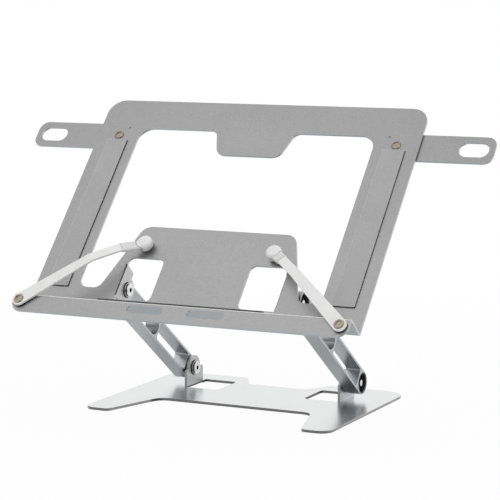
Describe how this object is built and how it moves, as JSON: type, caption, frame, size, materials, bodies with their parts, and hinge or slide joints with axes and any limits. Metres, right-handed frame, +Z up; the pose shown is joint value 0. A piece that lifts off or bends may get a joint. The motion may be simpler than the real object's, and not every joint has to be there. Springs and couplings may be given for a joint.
{
  "type": "book stand",
  "caption": "Folding metal book stand: open tray on two friction-hinged arms over a flat base, with swinging page clips and fold-out side wings",
  "frame": {"origin": "on the ground, under the middle of the stand's outer box as it stands", "axes": "+Z up; +X to the reader's right, along the stand's longest side; the reader sits on the -Y side"},
  "size_m": [0.485, 0.2538, 0.2865],
  "materials": {
    "tray_metal": "sand-blasted and anodised light grey",
    "arm_metal": "satin anodised, slightly darker",
    "base_metal": "bright satin anodised",
    "hardware_steel": "bright zinc-plated steel",
    "black_steel": "black-oxide steel",
    "hinge_nylon": "moulded black nylon",
    "rail_silicone": "matt grey silicone sheet",
    "strip_rubber": "matt dark grey rubber",
    "clip_white": "soft white coating",
    "rivet_brass": "dulled brass",
    "foot_rubber": "black rubber"
  },
  "bodies": {
    "base": {"base_plate": "base_metal", "front_left_foot_pad": "foot_rubber", "front_right_foot_pad": "foot_rubber", "rear_left_foot_pad": "foot_rubber", "rear_right_foot_pad": "foot_rubber"},
    "arms": {"left_arm": "arm_metal", "right_arm": "arm_metal", "left_base_screw": "hardware_steel", "right_base_screw": "hardware_steel", "left_tray_screw": "hardware_steel", "right_tray_screw": "hardware_steel", "left_base_washer": "hardware_steel", "right_base_washer": "hardware_steel", "left_tray_washer": "hardware_steel", "right_tray_washer": "hardware_steel", "left_base_head_disc": "hinge_nylon", "right_base_head_disc": "hinge_nylon", "left_tray_head_disc": "hinge_nylon", "right_tray_head_disc": "hinge_nylon", "left_base_friction_disc": "hinge_nylon", "right_base_friction_disc": "hinge_nylon", "left_tray_friction_disc": "hinge_nylon", "right_tray_friction_disc": "hinge_nylon", "left_base_hub_bush": "hinge_nylon", "right_base_hub_bush": "hinge_nylon", "left_tray_hub_bush": "hinge_nylon", "right_tray_hub_bush": "hinge_nylon", "left_base_nut": "black_steel", "right_base_nut": "black_steel", "left_tray_nut": "black_steel", "right_tray_nut": "black_steel"},
    "tray": {"tray_panel": "tray_metal", "ledge_strip": "strip_rubber", "left_rail_pad": "rail_silicone", "right_rail_pad": "rail_silicone", "left_wing_rivet": "rivet_brass", "right_wing_rivet": "rivet_brass", "left_wing_washer": "hinge_nylon", "right_wing_washer": "hinge_nylon", "left_clip_rivet": "rivet_brass", "right_clip_rivet": "rivet_brass", "left_clip_washer": "hinge_nylon", "right_clip_washer": "hinge_nylon"},
    "left_wing": {"left_wing": "tray_metal"},
    "right_wing": {"right_wing": "tray_metal"},
    "left_clip": {"left_clip_strap": "clip_white", "left_clip_boot": "clip_white"},
    "right_clip": {"right_clip_strap": "clip_white", "right_clip_boot": "clip_white"}
  },
  "joints": [
    {"name": "arm_lift", "type": "hinge", "parent": "base", "child": "arms", "pos_m": [0, 0.0769, 0.0201], "axis": [-1, 0, 0], "range_deg": [-32, 49]},
    {"name": "tray_tilt", "type": "hinge", "parent": "arms", "child": "tray", "pos_m": [0, -0.05872, 0.11755], "axis": [1, 0, 0], "range_deg": [-80, 40]},
    {"name": "left_wing_swing", "type": "hinge", "parent": "tray", "child": "left_wing", "pos_m": [-0.147, 0.04281, 0.25422], "axis": [0, -0.7431, 0.6691], "range_deg": [0, 90]},
    {"name": "right_wing_swing", "type": "hinge", "parent": "tray", "child": "right_wing", "pos_m": [0.147, 0.04281, 0.25422], "axis": [0, 0.7431, -0.6691], "range_deg": [0, 90]},
    {"name": "left_clip_swing", "type": "hinge", "parent": "tray", "child": "left_clip", "pos_m": [-0.1618, -0.11967, 0.11053], "axis": [0, -0.7431, 0.6691], "range_deg": [-26, 48]},
    {"name": "right_clip_swing", "type": "hinge", "parent": "tray", "child": "right_clip", "pos_m": [0.1618, -0.11967, 0.11053], "axis": [0, 0.7431, -0.6691], "range_deg": [-26, 48]}
  ]
}
